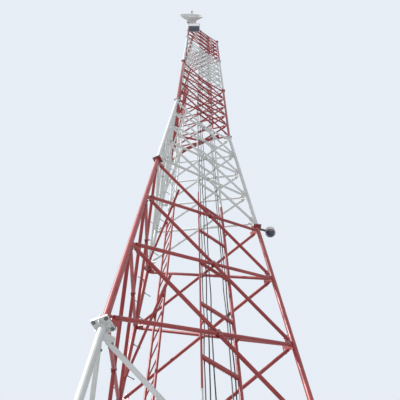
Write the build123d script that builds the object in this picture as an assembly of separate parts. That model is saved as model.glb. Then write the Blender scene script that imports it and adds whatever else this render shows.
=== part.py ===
# Radio mast: a three-legged tubular lattice tower painted in red and white bands.
# Millimetres. The origin is the underside of the front leg's base plate, Z is up and
# the front leg P stands nearest the viewer, on -Y. Q is the right leg, R the left one.
from build123d import *
from math import cos, sin, radians, sqrt
import os

os.makedirs("parts", exist_ok=True)

# Bands and taper
BAND = 6000.0
BANDS = 6
STRAIGHT_FROM = 3
TOP_SIDE = 2050.0
SIDE_PER_BAND = 650.0
PANELS = [3, 3, 4, 5, 5, 5]
COLOUR = ["white", "red", "white", "red", "white", "red"]

# Steel sizes
LEG_D = [89.0, 89.0, 89.0, 76.0, 76.0, 76.0]
BRACE_D = [60.0, 60.0, 54.0, 50.0, 50.0, 50.0]
# Square flange plates, from the foot up to the top
FLANGES = [220.0, 220.0, 170.0, 150.0, 140.0, 135.0, 140.0]
FLANGE_T = 16.0
NODE_SET = 170.0
GUSSET_OUT = 185.0
GUSSET_H = 150.0
GUSSET_T = 10.0
BRACE_START = 95.0
BASE_PLATE = 420.0
BASE_T = 30.0

# Feeder ladder behind the right-hand face: a narrow left rail and a tube at the right
RAIL_WIDE = 30.0
RAIL_DEEP = 44.0
RAIL_TUBE_D = 57.0
RAILS_AT = [-265.0, 368.0]
# Depth of the rails' middle behind the face, and the ladder's lean to the right
RAIL_MID = 97.0
LEAN_START = 7.0
LEAN = 0.003
SPACER_WIDE = 26.0
SPACER = 40.0
CROSSBAR_PITCH = 1200.0
CROSSBAR_H = 60.0
CROSSBAR_T = 44.0
FEEDER_START = 300.0
CABLE_D = 18.0
CABLE_START = 500.0
CABLE_STOP = 300.0
CABLE_GAP = 0.5
CABLES = [-175.0, -100.0, -28.0, 268.0, 322.0]

# Climbing ladder and its stays
LADDER_IN = [387.5, -144.147]
LADDER_START = 400.0
LADDER_STOP = 200.0
LADDER_W = 445.0
LADDER_RAIL_D = 42.0
RUNG_D = 22.0
RUNG_PITCH = 375.0
RUNG_END = 75.0
STAY_D = 50.0
STAY_NEAR = 420.0
STAY_PAST = 40.0
STAY_LOW = 2600.0
STAY_HIGH = 60.0

# Step bolts on the left leg
STEP_PITCH = 400.0
STEP_D = 18.0
STEP_OUT = 150.0
STEP_START = 700.0
STEP_SEAT = 12.0
STEP_HEAD_T = 8.0
STEP_CLEAR_JOINT = 60.0
STEP_CLEAR_NODE = 30.0

# Level frame just above the end of the taper, on the inner sides of the bracing
FRAME_Z = STRAIGHT_FROM * BAND + 400.0
FRAME_WIDE = 90.0
FRAME_TALL = 64.0
FRAME_REACH = 700.0
CROSS_WIDE = 60.0
CROSS_LEFT = -260.0
CROSS_BACK = 204.0

CY = (TOP_SIDE + SIDE_PER_BAND * STRAIGHT_FROM) / sqrt(3)
ANGLE = {"p": -90.0, "q": 30.0, "r": 150.0}
FACES = {"right": ("p", "q"), "back": ("q", "r"), "left": ("r", "p")}


def side(z):
    return TOP_SIDE + SIDE_PER_BAND * max(0.0, STRAIGHT_FROM - z / BAND)


def leg_at(name, z):
    r = side(z) / sqrt(3)
    a = radians(ANGLE[name])
    return Vector(r * cos(a), CY + r * sin(a), z)


def frame_of(face, band):
    # Origin, across, up and outward directions of the face of one band
    u, v = FACES[face]
    z0, z1 = band * BAND, (band + 1) * BAND
    a0, b0 = leg_at(u, z0), leg_at(v, z0)
    a1, b1 = leg_at(u, z1), leg_at(v, z1)
    across = (b0 - a0).normalized()
    up = ((a1 + b1) * 0.5 - (a0 + b0) * 0.5).normalized()
    out = up.cross(across)
    if out.dot(a0 - Vector(0, CY, z0)) < 0:
        out = out * -1
    return (a0 + b0) * 0.5, across, up, out


def bar(a, b, across, flat_dir):
    d = b - a
    pl = Plane(origin=a, x_dir=flat_dir, z_dir=d.normalized())
    prof = RegularPolygon(across / 2, 8, major_radius=False, rotation=22.5)
    return extrude(pl * prof, amount=d.length)


def rod(a, b, dia):
    d = b - a
    pl = Plane(origin=a, z_dir=d.normalized())
    return pl * Cylinder(dia / 2, d.length, align=(Align.CENTER, Align.CENTER, Align.MIN))


def plank(a, b, w, t, flat_dir):
    # Rectangular bar: t along flat_dir, w across it
    d = b - a
    pl = Plane(origin=a, x_dir=flat_dir, z_dir=d.normalized())
    return extrude(pl * Rectangle(t, w), amount=d.length)


def slab(x, y, z, wide, deep, high):
    # Box standing on z
    return Pos(x, y, z) * Box(wide, deep, high, align=(Align.CENTER, Align.CENTER, Align.MIN))


def fuse(items):
    return items[0].fuse(*items[1:])


def foot_of(band):
    return band * BAND + (BASE_T if band == 0 else 0)


def node_levels(band):
    z0 = foot_of(band) + NODE_SET
    z1 = (band + 1) * BAND - NODE_SET
    n = PANELS[band]
    return [z0 + (z1 - z0) * i / n for i in range(n + 1)]


def leg_tube(name, band):
    a = leg_at(name, foot_of(band) + FLANGE_T / 2)
    b = leg_at(name, (band + 1) * BAND - FLANGE_T / 2)
    return rod(a, b, LEG_D[band])


def leg_cut(name, band, dia):
    return rod(leg_at(name, band * BAND), leg_at(name, (band + 1) * BAND), dia)


def square_plate(name, z, low, width, thick):
    # Square plate round a leg, turned so that one side faces the middle of the mast
    c = leg_at(name, z)
    return Pos(c.X, c.Y, 0) * Rot(0, 0, ANGLE[name]) * slab(0, 0, low, width, width, thick)


def legs(band):
    head = (band + 1) * BAND
    made = []
    for name in ANGLE:
        lower = square_plate(name, foot_of(band), foot_of(band), FLANGES[band], FLANGE_T)
        upper = square_plate(name, head, head - FLANGE_T, FLANGES[band + 1], FLANGE_T)
        made.append(fuse([leg_tube(name, band), lower, upper]))
    return made


def gusset(name, face, band, z):
    across, out = frame_of(face, band)[1::2]
    s = across if name == FACES[face][0] else across * -1
    mid = leg_at(name, z) + s * (GUSSET_OUT / 2)
    return Plane(origin=mid, x_dir=s, z_dir=out) * Box(GUSSET_OUT, GUSSET_H, GUSSET_T)


def bracing(face, band):
    # Crossed bars of one band, joined at every node by gussets that end on the legs
    u, v = FACES[face]
    out = frame_of(face, band)[3]
    zs = node_levels(band)
    bars = []
    for z0, z1 in zip(zs, zs[1:]):
        bars.append(bar(leg_at(u, z0), leg_at(v, z1), BRACE_D[band], out))
        bars.append(bar(leg_at(v, z0), leg_at(u, z1), BRACE_D[band], out))
    web = fuse(bars) - [leg_cut(name, band, 2 * BRACE_START) for name in (u, v)]
    web = web + [gusset(name, face, band, z) for name in (u, v) for z in zs]
    return web - [leg_cut(name, band, LEG_D[band]) for name in (u, v)]


def write(name, solids):
    flat = []
    for s in solids:
        flat += list(s.solids())
    shape = Compound(children=flat) if len(flat) > 1 else flat[0]
    export_step(shape, "parts/" + name + ".step")
    bb = shape.bounding_box()
    print(name, len(flat), [round(v) for v in (*bb.min, *bb.max)], flush=True)


def by_colour(stem, maker):
    for colour in ("white", "red"):
        write(stem + "_" + colour, [s for b in range(BANDS) if COLOUR[b] == colour for s in maker(b)])


write("base_plates", [square_plate(name, 0, 0, BASE_PLATE, BASE_T) for name in ANGLE])
by_colour("legs", legs)
for face in FACES:
    by_colour(face + "_bracing", lambda b, f=face: [bracing(f, b)])


# Feeder ladder: rails, toothed crossbars and spacers that seat it on the bracing
def lean_at(z):
    return LEAN_START + LEAN * min(z, STRAIGHT_FROM * BAND)


def feeder_point(x, z, depth, band):
    o, across, up, out = frame_of("right", band)
    return o + up * ((z - band * BAND) / up.Z) + across * (x + lean_at(z)) - out * depth


def crossings(x, band):
    # Heights where a bracing bar passes the rail at x
    zs = node_levels(band)
    hits = []
    for z0, z1 in zip(zs, zs[1:]):
        for s in (1, -1):
            f = 0.5
            for _ in range(30):
                z = z0 + (z1 - z0) * f
                f = 0.5 + s * (x + lean_at(z)) / side(z)
            hits.append(z0 + (z1 - z0) * f)
    return sorted(hits)


def feeder_ladder(band):
    across, up, out = frame_of("right", band)[1:]
    foot = band * BAND + (FEEDER_START if band == 0 else 0)
    head = (band + 1) * BAND
    bits = []
    for x in RAILS_AT:
        a, b = feeder_point(x, foot, RAIL_MID, band), feeder_point(x, head, RAIL_MID, band)
        bits.append(plank(a, b, RAIL_WIDE, RAIL_DEEP, out) if x < 0 else rod(a, b, RAIL_TUBE_D))
        hits = crossings(x, band)
        for z in (hits[1], hits[-2]):
            a, b = feeder_point(x, z, BRACE_D[band] / 2, band), feeder_point(x, z, RAIL_MID, band)
            bits.append(plank(a, b, SPACER_WIDE, SPACER, up))
    z = band * BAND + CROSSBAR_PITCH / 2
    while z < head:
        a, b = (feeder_point(x, z, RAIL_MID, band) for x in RAILS_AT)
        bits.append(plank(a, b, CROSSBAR_H, CROSSBAR_T, out))
        z += CROSSBAR_PITCH
    return [fuse(bits)]


by_colour("feeder_ladder", feeder_ladder)

# Feeder cables on the inner side of the crossbars
depth = RAIL_MID + CROSSBAR_T / 2 + CABLE_D / 2 + CABLE_GAP
runs = []
for x in CABLES:
    foot = feeder_point(x, CABLE_START, depth, 0)
    knee = feeder_point(x, STRAIGHT_FROM * BAND, depth, STRAIGHT_FROM)
    head = feeder_point(x, BANDS * BAND - CABLE_STOP, depth, BANDS - 1)
    ring_of = Plane(origin=foot, z_dir=(knee - foot).normalized()) * Circle(CABLE_D / 2)
    runs.append(sweep(ring_of, path=Polyline(foot, knee, head), transition=Transition.RIGHT))
write("feeder_cables", runs)


# Climbing ladder: upright, standing off the left side, on stays from the left leg
LEFT_MID = (leg_at("r", BANDS * BAND) + leg_at("p", BANDS * BAND)) * 0.5
LAD_DIR = Vector(-1, 1, 0).normalized()
LAD_OUT = Vector(-1, -1, 0).normalized()
LAD_NEAR = Vector(LEFT_MID.X + LADDER_IN[0], LEFT_MID.Y + LADDER_IN[1], 0)
LAD_FAR = LAD_NEAR + LAD_DIR * LADDER_W


def stay(z, band):
    # A level bar along the ladder's back, and a short clip where the leg isn't in line
    lift = Vector(0, 0, z)
    r = leg_at("r", z)
    leg_foot = Vector(r.X, r.Y, 0)
    line = LAD_NEAR + LAD_OUT * (LADDER_RAIL_D / 2 + STAY_D / 2)
    run = (leg_foot - LAD_NEAR).dot(LAD_DIR)
    off = (leg_foot - line).dot(LAD_OUT)
    end = STAY_PAST if abs(off) > 1.5 * STAY_D else -STAY_D / 2
    bits = [bar(line - LAD_DIR * STAY_NEAR + lift, line + LAD_DIR * (run + end) + lift, STAY_D, LAD_OUT)]
    if abs(off) > 1.2 * STAY_D:
        foot = line + LAD_DIR * run + lift
        bits.append(plank(foot, foot + LAD_OUT * off, STAY_D, STAY_D, Vector(0, 0, 1)))
    return (fuse(bits) if len(bits) > 1 else bits[0]) - leg_cut("r", band, LEG_D[band])


def ladder_ends(band):
    foot = band * BAND + (LADDER_START if band == 0 else 0)
    return foot, (band + 1) * BAND - (LADDER_STOP if band == BANDS - 1 else 0)


def climbing_stays(band):
    heights = (band * BAND + STAY_LOW, (band + 1) * BAND - STAY_HIGH)
    return [stay(z, band) for z in heights if z <= ladder_ends(band)[1]]


def climbing_ladder(band):
    foot, head = ladder_ends(band)
    bits = []
    for rail in (LAD_NEAR, LAD_FAR):
        bits.append(bar(rail + Vector(0, 0, foot), rail + Vector(0, 0, head), LADDER_RAIL_D, LAD_OUT))
    n = int((head - foot - 2 * RUNG_END) / RUNG_PITCH)
    first = foot + (head - foot - (n - 1) * RUNG_PITCH) / 2
    for i in range(n):
        lift = Vector(0, 0, first + i * RUNG_PITCH)
        bits.append(bar(LAD_NEAR + lift, LAD_FAR + lift, RUNG_D, LAD_OUT))
    return [fuse(bits)]


by_colour("climbing_ladder", climbing_ladder)
by_colour("climbing_stays", climbing_stays)

# Step bolts on the left leg, pointing to either side in turn
def is_free(z, band):
    near_joint = min(z % BAND, BAND - z % BAND) < STEP_CLEAR_JOINT
    near_node = any(abs(z - n) < GUSSET_H / 2 + STEP_CLEAR_NODE for n in node_levels(band))
    return not near_joint and not near_node


steps = []
for i in range(int((BANDS * BAND - LADDER_STOP - STEP_START) / STEP_PITCH) + 1):
    z = STEP_START + i * STEP_PITCH
    band = int(z // BAND)
    if is_free(z, band):
        turn = radians(ANGLE["r"] + (90 if i % 2 else -90))
        d = Vector(cos(turn), sin(turn), 0)
        root = leg_at("r", z) + d * (LEG_D[band] / 2)
        peg = rod(root - d * STEP_SEAT, root + d * STEP_OUT, STEP_D)
        head = rod(root + d * (STEP_OUT - STEP_HEAD_T), root + d * STEP_OUT, STEP_D * 1.9)
        steps.append(fuse([peg, head]) - leg_cut("r", band, LEG_D[band]))
write("step_bolts", steps)


# Level frame where the taper ends: a bar behind two sides, and a brace between them
def frame_bar(face):
    u, v = FACES[face]
    across, out = frame_of(face, STRAIGHT_FROM)[1::2]
    mid = (leg_at(u, FRAME_Z) + leg_at(v, FRAME_Z)) * 0.5
    mid = mid - out * ((BRACE_D[STRAIGHT_FROM] + FRAME_WIDE) / 2)
    return mid, across, out


def level_frame():
    bars = []
    for face in ("back", "left"):
        mid, across, out = frame_bar(face)
        half = across * FRAME_REACH
        bars.append(plank(mid - half, mid + half, FRAME_TALL, FRAME_WIDE, out))
    left_mid, left_across = frame_bar("left")[:2]
    back_mid, back_across = frame_bar("back")[:2]
    a = left_mid + left_across * CROSS_LEFT
    b = back_mid + back_across * -CROSS_BACK
    bars.append(plank(a, b, CROSS_WIDE, CROSS_WIDE, Vector(0, 0, 1)))
    return fuse(bars)


write("taper_frame", [level_frame()])

# Equipment cabinet outside the front leg, on two brackets along its back
TOP = BANDS * BAND
leg_p = leg_at("p", TOP)
CAB_W, CAB_D, CAB_H = 575.0, 300.0, 800.0
CAB_Z = TOP - 4500.0
CAB_TURN = 23.3
ROOF_OUT, ROOF_T = 15.0, 25.0
FLOOR_T, FLOOR_EDGE = 12.0, 15.0
CAB_GAP = 47.0
BRACKET_H, BRACKET_L = 50.0, 560.0
BRACKETS_AT = [200.0, 600.0]
CAB_RIGHT = 30.0
along = Vector(cos(radians(CAB_TURN)), sin(radians(CAB_TURN)), 0)
inward = Vector(-along.Y, along.X, 0)
cab_mid = leg_p + along * (CAB_W / 2 + CAB_RIGHT) - inward * (CAB_D / 2 + CAB_GAP)
CABINET = Pos(cab_mid.X, cab_mid.Y, CAB_Z) * Rot(0, 0, CAB_TURN)
floor_panel = slab(0, 0, 0, CAB_W - 2 * FLOOR_EDGE, CAB_D - 2 * FLOOR_EDGE, FLOOR_T)
roof = slab(0, -ROOF_OUT / 2, CAB_H - ROOF_T, CAB_W + 2 * ROOF_OUT, CAB_D + ROOF_OUT, ROOF_T)
case = slab(0, 0, 0, CAB_W, CAB_D, CAB_H) + roof - floor_panel
write("cabinet_case", [CABINET * case])
write("cabinet_floor", [CABINET * floor_panel])
brackets = []
for rise in BRACKETS_AT:
    start = Vector(leg_p.X, leg_p.Y, CAB_Z + rise) - inward * (CAB_GAP / 2)
    arm = plank(start, start + along * BRACKET_L, BRACKET_H, CAB_GAP, inward)
    brackets.append(arm - leg_cut("p", BANDS - 1, LEG_D[-1]))
write("cabinet_brackets", brackets)

# Dish on a pole beside the front leg: a shell with a rolled lip, hub, yoke and feed
DISH_D, DISH_DEPTH, HUB_D, SHELL = 1340.0, 291.0, 576.0, 10.0
LIP_OUT, LIP_H = 8.0, 22.0
HUB_BACK, HUB_FRONT = 40.0, 60.0
POST_D, POST_LEFT, POST_OUT = 76.0, 45.0, 94.0
POST_FOOT, POST_HEAD = CAB_Z + 200, TOP - 1400.0
ARMS_AT = [POST_FOOT + 250, POST_HEAD - 300]
ARM_SIZE = 50.0
FEED_START, FEED_TIP, BOOM_D, HORN_D, HORN_L = 10.0, 573.0, 42.0, 98.0, 220.0
DISH_Z = POST_HEAD - 400
AXIS = Vector(0.448, -0.894, 0).normalized()
VERTEX = Vector(leg_p.X + 206, leg_p.Y - 155, DISH_Z)
RIM = DISH_D / 2
CURVE = DISH_DEPTH / RIM ** 2
DISH = Plane(origin=VERTEX, x_dir=(0, 0, 1), z_dir=AXIS)


def turned(points):
    # Solid of revolution of a closed outline given as radius and height
    with BuildSketch(Plane.XZ) as sketch:
        with BuildLine():
            Polyline(*points, close=True)
        make_face()
    return revolve(sketch.sketch, Axis.Z, 360)


outer = [(RIM * i / 8, CURVE * (RIM * i / 8) ** 2) for i in range(9)]
inner = [(x - 6 * x / RIM, y + SHELL) for x, y in outer[::-1]]
lip = [(RIM + LIP_OUT, DISH_DEPTH - 4), (RIM + LIP_OUT, DISH_DEPTH + LIP_H), (RIM - 6, DISH_DEPTH + LIP_H)]
shell = turned(outer + lip + inner)
write("dish_reflector", [DISH * shell])
above = turned(outer + [(RIM, 500), (0, 500)])
hub = Pos(0, 0, (HUB_FRONT - HUB_BACK) / 2) * Cylinder(HUB_D / 2, HUB_FRONT + HUB_BACK)
write("dish_hub", [DISH * (hub - above)])
tube = Cylinder(BOOM_D / 2, FEED_TIP - HORN_L - FEED_START + 5, align=(Align.CENTER, Align.CENTER, Align.MIN))
horn = Cylinder(HORN_D / 2, HORN_L, align=(Align.CENTER, Align.CENTER, Align.MIN))
feed = Pos(0, 0, FEED_START) * tube + Pos(0, 0, FEED_TIP - HORN_L) * horn
write("dish_feed", [DISH * (feed - shell)])
post_at = leg_p - along * POST_LEFT - inward * POST_OUT
post = rod(Vector(post_at.X, post_at.Y, POST_FOOT), Vector(post_at.X, post_at.Y, POST_HEAD), POST_D)
write("dish_post", [post])
arms = []
for z in ARMS_AT:
    a, b = (Vector(at.X, at.Y, z) for at in (leg_p, post_at))
    arm = plank(a, b, ARM_SIZE, ARM_SIZE, Vector(0, 0, 1))
    arms.append(arm - post - leg_cut("p", BANDS - 1, LEG_D[-1]))
write("dish_post_arms", arms)
CLAMP_H, CLAMP_W, CLAMP_L = 70.0, 120.0, 80.0
CLAMPS_AT = [-90.0, 90.0]
DISH_SIDE = Vector(0, 0, 1).cross(AXIS)
clamp_side = (post_at - VERTEX).dot(DISH_SIDE)
clamp_mid = -HUB_BACK - CLAMP_L / 2
clamp = Box(CLAMP_H, CLAMP_W, CLAMP_L)
write("dish_clamps", [DISH * (Pos(x, -clamp_side, clamp_mid) * clamp) - post for x in CLAMPS_AT])
YOKE_BAR, YOKE_W, YOKE_T, YOKE_BACK = 50.0, 520.0, 30.0, 96.0
yoke = Pos(0, 0, -YOKE_BACK + YOKE_T / 2) * Box(YOKE_BAR, YOKE_W, YOKE_T)
for y in (-1, 1):
    side_bar = Box(YOKE_BAR, YOKE_BAR, YOKE_BACK - HUB_BACK)
    yoke = yoke + Pos(0, y * (YOKE_W - YOKE_BAR) / 2, -(YOKE_BACK + HUB_BACK) / 2) * side_bar
write("dish_yoke", [DISH * yoke])

# Warning lamp on an arm at the right leg, just below the joint above the red band
LAMP_D = 224.0
LAMP_Z = 2 * BAND - 100
leg_q = leg_at("q", LAMP_Z)
LAMP = leg_q + Vector(227.6, 197.3, 0)
ARM_D, ARM_UP = 40.0, 50.0
housing = Pos(LAMP) * Pos(0, 0, 60) * Cylinder(LAMP_D / 2, 120)
roof = Cone(LAMP_D / 2, 50, 45, align=(Align.CENTER, Align.CENTER, Align.MIN))
housing = housing + Pos(LAMP) * Pos(0, 0, 120) * roof
lift = Vector(0, 0, ARM_UP)
arm = bar(leg_q + lift, LAMP + lift, ARM_D, (0, 0, 1)) - housing - leg_cut("q", 1, LEG_D[1])
write("lamp_arm", [arm])
write("lamp_housing", [housing])
lower_half = Pos(0, 0, -LAMP_D / 2) * Box(LAMP_D, LAMP_D, LAMP_D)
write("lamp_lens", [Pos(LAMP) * (Sphere(LAMP_D / 2 - 12) & lower_half)])

# Caps on the two open leg tops
caps = []
for name in ("q", "r"):
    c = leg_at(name, TOP)
    caps.append(Pos(c.X, c.Y, TOP) * Cylinder(55, 50, align=(Align.CENTER, Align.CENTER, Align.MIN)))
write("leg_caps", caps)
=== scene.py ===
"""Radio mast: the dressed look of a three-legged tubular lattice tower in red and white bands.

Everything is in metres, in the frame of the CAD part: the origin is under the front leg's
base plate, Z is up and the front leg P stands on -Y, with Q to the right and R to the left.
"""

import math

import bmesh
import bpy
from bpy.props import FloatProperty, FloatVectorProperty, PointerProperty
from mathutils import Matrix, Vector


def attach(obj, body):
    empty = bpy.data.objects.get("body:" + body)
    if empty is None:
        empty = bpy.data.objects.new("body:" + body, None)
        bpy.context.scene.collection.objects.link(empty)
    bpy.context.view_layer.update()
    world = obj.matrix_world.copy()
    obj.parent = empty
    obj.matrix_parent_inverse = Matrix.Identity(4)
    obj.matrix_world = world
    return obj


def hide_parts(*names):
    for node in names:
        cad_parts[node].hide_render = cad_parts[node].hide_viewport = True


bl_info = {
    "name": "Radio mast",
    "version": (1, 0, 0),
    "blender": (4, 5, 0),
    "location": "View3D > Sidebar > Mast",
    "description": "Builds a lattice mast with ladders, lamp and dish",
    "category": "Add Mesh",
}

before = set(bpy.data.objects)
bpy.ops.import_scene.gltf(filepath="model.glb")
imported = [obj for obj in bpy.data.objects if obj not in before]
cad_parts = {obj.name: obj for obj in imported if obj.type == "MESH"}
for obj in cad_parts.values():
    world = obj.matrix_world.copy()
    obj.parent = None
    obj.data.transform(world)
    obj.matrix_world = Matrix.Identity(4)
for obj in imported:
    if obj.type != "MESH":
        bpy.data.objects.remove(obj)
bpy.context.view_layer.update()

# Bands, taper and steel sizes, as in the part's source
BAND = 6.0
BANDS = 6
TOP = BAND * BANDS
STRAIGHT_FROM = 3
TOP_SIDE = 2.05
SIDE_PER_BAND = 0.65
PANELS = (3, 3, 4, 5, 5, 5)
COLOURS = ("white", "red")
LEG_D = (0.089, 0.089, 0.089, 0.076, 0.076, 0.076)
BRACE_D = (0.060, 0.060, 0.054, 0.050, 0.050, 0.050)
FLANGES = (0.220, 0.220, 0.170, 0.150, 0.140, 0.135, 0.140)
FLANGE_T = 0.016
NODE_SET = 0.170
GUSSET_OUT = 0.185
GUSSET_H = 0.150
GUSSET_T = 0.010
BRACE_START = 0.095
BASE_PLATE = 0.420
BASE_T = 0.030
CY = (TOP_SIDE + SIDE_PER_BAND * STRAIGHT_FROM) / math.sqrt(3)
ANGLE = {"p": -90.0, "q": 30.0, "r": 150.0}
FACES = {"right": ("p", "q"), "back": ("q", "r"), "left": ("r", "p")}
UP = Vector((0, 0, 1))

# How far one joined shape sinks into the next, and the bevels of fine, plain and bold edges
BITE = 0.002
FINE, PLAIN, BOLD = 0.001, 0.0015, 0.003


def side(z):
    return TOP_SIDE + SIDE_PER_BAND * max(0.0, STRAIGHT_FROM - z / BAND)


def leg_at(leg, z):
    r = side(z) / math.sqrt(3)
    a = math.radians(ANGLE[leg])
    return Vector((r * math.cos(a), CY + r * math.sin(a), z))


def leg_axes(leg):
    """Level directions at a leg: away from the tower's middle, and square to that."""
    turn = math.radians(ANGLE[leg])
    away = Vector((math.cos(turn), math.sin(turn), 0))
    return away, UP.cross(away)


def at_height(point, z):
    return Vector((point.x, point.y, z))


def face_axes(face, band):
    """Across, up and outward directions of one face in one band."""
    u, v = FACES[face]
    z0, z1 = band * BAND, (band + 1) * BAND
    a0, b0, a1, b1 = leg_at(u, z0), leg_at(v, z0), leg_at(u, z1), leg_at(v, z1)
    across = (b0 - a0).normalized()
    up = ((a1 + b1) / 2 - (a0 + b0) / 2).normalized()
    out = up.cross(across)
    if out.dot(a0 - Vector((0, CY, z0))) < 0:
        out.negate()
    return across, up, out


def node_levels(band):
    z0 = band * BAND + NODE_SET + (BASE_T if band == 0 else 0)
    z1 = (band + 1) * BAND - NODE_SET
    return [z0 + (z1 - z0) * i / PANELS[band] for i in range(PANELS[band] + 1)]


def band_at(z):
    return min(int(z // BAND), BANDS - 1)


def bands_of(colour):
    """The bands of one colour: they alternate, and the lowest one is white."""
    return range(COLOURS.index(colour), BANDS, len(COLOURS))


# Modelling helpers: each adds one bmesh shape in place
def axes(z_dir, x_hint):
    z = z_dir.normalized()
    x = x_hint - z * x_hint.dot(z)
    if x.length < 1e-6:
        x = z.orthogonal()
    x.normalize()
    return Matrix((x, z.cross(x), z)).transposed()


def placed(origin, z_dir, x_hint=Vector((1, 0, 0))):
    return Matrix.Translation(origin) @ axes(z_dir, x_hint).to_4x4()


def add_rod(bm, a, b, dia, sides=16, dia_end=None):
    """A round bar from a to b, or a cone where the far end has its own diameter."""
    end = dia if dia_end is None else dia_end
    bmesh.ops.create_cone(bm, cap_ends=True, segments=sides, radius1=dia / 2, radius2=end / 2,
                          depth=(b - a).length, matrix=placed((a + b) / 2, b - a))


def add_block(bm, centre, size, z_dir=UP, x_hint=Vector((1, 0, 0)), soft=0.0):
    m = placed(centre, z_dir, x_hint) @ Matrix.Diagonal((*size, 1))
    verts = bmesh.ops.create_cube(bm, size=1.0, matrix=m)["verts"]
    if soft:
        edges = list({e for v in verts for e in v.link_edges})
        bmesh.ops.bevel(bm, geom=edges, offset=soft, offset_type="OFFSET", segments=1,
                        profile=0.5, affect="EDGES", material=-1)


def add_plank(bm, a, b, wide, thick, thick_dir, soft=0.0):
    add_block(bm, (a + b) / 2, (thick, wide, (b - a).length), b - a, thick_dir, soft)


def add_hex(bm, at, axis, across, thick):
    """A hexagon head or nut standing on a surface at that point."""
    axis = axis.normalized()
    corner = across / 1.732
    bmesh.ops.create_cone(bm, cap_ends=True, segments=6, radius1=corner, radius2=corner,
                          depth=thick, matrix=placed(at + axis * thick / 2, axis))


def add_bolt(bm, at, axis, across, thick, stud=0.0):
    """A washer with a hexagon on it, and a threaded end where a stud length is given."""
    axis = axis.normalized()
    washer = thick * 0.2
    add_rod(bm, at, at + axis * washer, across * 1.35, 12)
    add_hex(bm, at + axis * washer, axis, across, thick)
    if stud:
        add_rod(bm, at, at + axis * (thick + washer + stud), across * 0.55, 8)


def add_weld(bm, centre, axis, radius, bead=0.006):
    """A weld bead: a small fillet cone round a tube."""
    axis = axis.normalized()
    bmesh.ops.create_cone(bm, cap_ends=False, segments=24, radius1=radius + bead,
                          radius2=radius * 0.995, depth=bead,
                          matrix=placed(centre + axis * bead / 2, axis))


def add_turned(bm, profile, axis_at, axis, steps=72, fill=False):
    """Turns a closed profile of (radius, along) points round an axis."""
    m = placed(axis_at, axis)
    verts = [bm.verts.new(m @ Vector((r, 0, h))) for r, h in profile]
    edges = [bm.edges.new(pair) for pair in zip(verts, verts[1:] + verts[:1])]
    bmesh.ops.spin(bm, geom=verts + edges, cent=axis_at, axis=axis, dvec=(0, 0, 0),
                   angle=math.tau, steps=steps, use_merge=True, use_duplicate=False)
    bmesh.ops.remove_doubles(bm, verts=bm.verts, dist=1e-5)
    if fill:
        bmesh.ops.holes_fill(bm, edges=[e for e in bm.edges if e.is_boundary], sides=0)
    bmesh.ops.recalc_face_normals(bm, faces=bm.faces)


def finish_piece(name, bm, paint, replaced=(), smooth=40.0):
    """Makes the shapes one object, painted, riding the tower and in its colour slot."""
    bmesh.ops.remove_doubles(bm, verts=bm.verts, dist=1e-6)
    mesh = bpy.data.meshes.new(name)
    bm.to_mesh(mesh)
    bm.free()
    obj = bpy.data.objects.new(name, mesh)
    bpy.context.scene.collection.objects.link(obj)
    mesh.materials.append(PAINTS[paint])
    for p in mesh.polygons:
        p.use_smooth = True
    mesh.set_sharp_from_angle(angle=math.radians(smooth))
    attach(obj, "root")
    if replaced:
        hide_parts(*replaced)


# Finishes
PAINTS = {}


def new_material(name):
    mat = bpy.data.materials.new(name)
    mat.use_nodes = True
    tree = mat.node_tree
    shader = next(n for n in tree.nodes if n.type == "BSDF_PRINCIPLED")
    coords = tree.nodes.new("ShaderNodeTexCoord")
    return mat, tree, shader, coords.outputs["Object"]


def noise(tree, vector, scale, detail=3.0, rough=0.55, stretch=(1, 1, 1), shift=(0, 0, 0)):
    spread = tree.nodes.new("ShaderNodeMapping")
    spread.inputs["Scale"].default_value = stretch
    spread.inputs["Location"].default_value = shift
    tree.links.new(vector, spread.inputs["Vector"])
    tex = tree.nodes.new("ShaderNodeTexNoise")
    tex.inputs["Scale"].default_value = scale
    tex.inputs["Detail"].default_value = detail
    tex.inputs["Roughness"].default_value = rough
    tree.links.new(spread.outputs["Vector"], tex.inputs["Vector"])
    return tex.outputs["Fac"]


def band_mask(tree, value, low, high, to_low=0.0, to_high=1.0):
    """Stretches the part of a pattern between low and high to a new range."""
    m = tree.nodes.new("ShaderNodeMapRange")
    m.clamp = True
    for key, number in zip(("From Min", "From Max", "To Min", "To Max"), (low, high, to_low, to_high)):
        m.inputs[key].default_value = number
    tree.links.new(value, m.inputs["Value"])
    return m.outputs["Result"]


def blend(tree, mask, first, second):
    """Mixes two colours, each a value or another node's output."""
    mix = tree.nodes.new("ShaderNodeMix")
    mix.data_type = "RGBA"
    tree.links.new(mask, mix.inputs["Factor"])
    for key, value in (("A", first), ("B", second)):
        socket = next(s for s in mix.inputs if s.name == key and s.type == "RGBA")
        if isinstance(value, tuple):
            socket.default_value = (*value[:3], 1.0)
        else:
            tree.links.new(value, socket)
    return next(s for s in mix.outputs if s.type == "RGBA")


def bump(tree, shader, height, strength, distance):
    node = tree.nodes.new("ShaderNodeBump")
    node.inputs["Strength"].default_value = strength
    node.inputs["Distance"].default_value = distance
    tree.links.new(height, node.inputs["Height"])
    tree.links.new(node.outputs["Normal"], shader.inputs["Normal"])


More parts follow.
